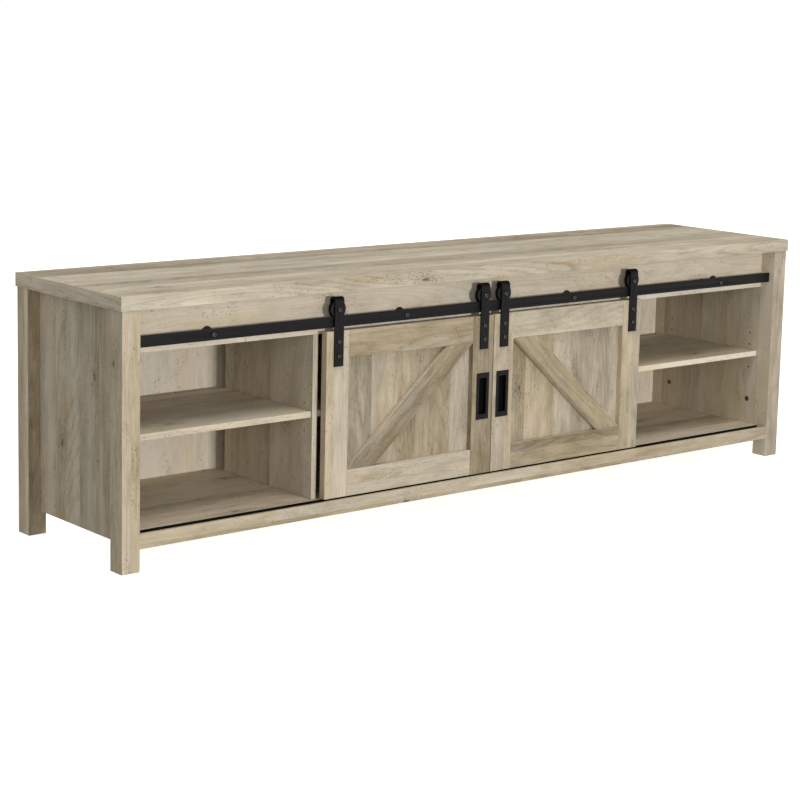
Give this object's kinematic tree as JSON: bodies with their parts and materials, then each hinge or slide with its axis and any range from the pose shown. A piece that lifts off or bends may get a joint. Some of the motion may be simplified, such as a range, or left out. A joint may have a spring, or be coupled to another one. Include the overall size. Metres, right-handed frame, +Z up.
{
  "type": "tv stand with sliding doors",
  "caption": "Low, long TV stand on square legs, open shelved bays at both ends, sliding barn doors with diagonal braces hanging from a flat steel track across the middle.",
  "frame": {"origin": "on the floor, under the middle of the top", "axes": "+X to the right seen from the front, front faces -Y, +Z up"},
  "size_m": [1.797, 0.381, 0.508],
  "materials": {
    "oak_long": "matt weathered oak laminate, grain running along the piece",
    "oak_upright": "matt weathered oak laminate, grain upright",
    "oak_brace": "matt weathered oak laminate, grain along the brace",
    "back_board": "thin board with the same oak print, grain upright",
    "black_steel": "satin black powder coat",
    "black_bolt": "black oxide, slightly shinier than the straps",
    "wheel_black": "black nylon",
    "channel_black": "matt black plastic"
  },
  "bodies": {
    "cabinet": {"top_slab": "oak_long", "leg_front_left": "oak_upright", "leg_front_right": "oak_upright", "leg_rear_left": "oak_upright", "leg_rear_right": "oak_upright", "side_panel_left": "oak_upright", "side_panel_right": "oak_upright", "header_rail": "oak_long", "apron": "oak_long", "guide_channel": "channel_black", "bottom_panel": "oak_long", "divider_left": "oak_upright", "divider_right": "oak_upright", "shelf_left": "oak_long", "shelf_centre": "oak_long", "shelf_right": "oak_long", "back_panel": "back_board", "rear_rail": "oak_long", "centre_foot": "channel_black", "track_bar": "black_steel", "track_standoff_1": "black_steel", "track_standoff_2": "black_steel", "track_standoff_3": "black_steel", "track_standoff_4": "black_steel"},
    "door_left": {"door_left_stile_inner": "oak_upright", "door_left_stile_outer": "oak_upright", "door_left_rail_top": "oak_long", "door_left_rail_bottom": "oak_long", "door_left_panel": "oak_upright", "door_left_brace": "oak_brace", "door_left_guide": "channel_black", "pull_left": "black_steel", "hanger_left_inner": "black_steel", "axle_bolt_left_inner": "black_bolt", "strap_bolt_left_inner_upper": "black_bolt", "strap_bolt_left_inner_lower": "black_bolt", "hanger_left_outer": "black_steel", "axle_bolt_left_outer": "black_bolt", "strap_bolt_left_outer_upper": "black_bolt", "strap_bolt_left_outer_lower": "black_bolt"},
    "wheel_left_inner": {"wheel_left_inner": "wheel_black"},
    "wheel_left_outer": {"wheel_left_outer": "wheel_black"},
    "door_right": {"door_right_stile_inner": "oak_upright", "door_right_stile_outer": "oak_upright", "door_right_rail_top": "oak_long", "door_right_rail_bottom": "oak_long", "door_right_panel": "oak_upright", "door_right_brace": "oak_brace", "door_right_guide": "channel_black", "pull_right": "black_steel", "hanger_right_inner": "black_steel", "axle_bolt_right_inner": "black_bolt", "strap_bolt_right_inner_upper": "black_bolt", "strap_bolt_right_inner_lower": "black_bolt", "hanger_right_outer": "black_steel", "axle_bolt_right_outer": "black_bolt", "strap_bolt_right_outer_upper": "black_bolt", "strap_bolt_right_outer_lower": "black_bolt"},
    "wheel_right_inner": {"wheel_right_inner": "wheel_black"},
    "wheel_right_outer": {"wheel_right_outer": "wheel_black"}
  },
  "joints": [
    {"name": "door_left_slide", "type": "slide", "parent": "cabinet", "child": "door_left", "axis": [-1, 0, 0], "range_m": [0, 0.424]},
    {"name": "wheel_left_inner_spin", "type": "hinge", "parent": "door_left", "child": "wheel_left_inner", "pos_m": [-0.0275, -0.1725, 0.4456], "axis": [0, -1, 0], "range_deg": [0, 1765]},
    {"name": "wheel_left_outer_spin", "type": "hinge", "parent": "door_left", "child": "wheel_left_outer", "pos_m": [-0.4035, -0.1725, 0.4456], "axis": [0, -1, 0], "range_deg": [0, 1765]},
    {"name": "door_right_slide", "type": "slide", "parent": "cabinet", "child": "door_right", "axis": [1, 0, 0], "range_m": [0, 0.424]},
    {"name": "wheel_right_inner_spin", "type": "hinge", "parent": "door_right", "child": "wheel_right_inner", "pos_m": [0.0275, -0.1725, 0.4456], "axis": [0, 1, 0], "range_deg": [0, 1765]},
    {"name": "wheel_right_outer_spin", "type": "hinge", "parent": "door_right", "child": "wheel_right_outer", "pos_m": [0.4035, -0.1725, 0.4456], "axis": [0, 1, 0], "range_deg": [0, 1765]}
  ],
  "couplings": [
    {"joint": "wheel_left_inner_spin", "follows": "door_left_slide", "rad_per_m": 72.464},
    {"joint": "wheel_left_outer_spin", "follows": "door_left_slide", "rad_per_m": 72.464},
    {"joint": "wheel_right_inner_spin", "follows": "door_right_slide", "rad_per_m": 72.464},
    {"joint": "wheel_right_outer_spin", "follows": "door_right_slide", "rad_per_m": 72.464}
  ]
}
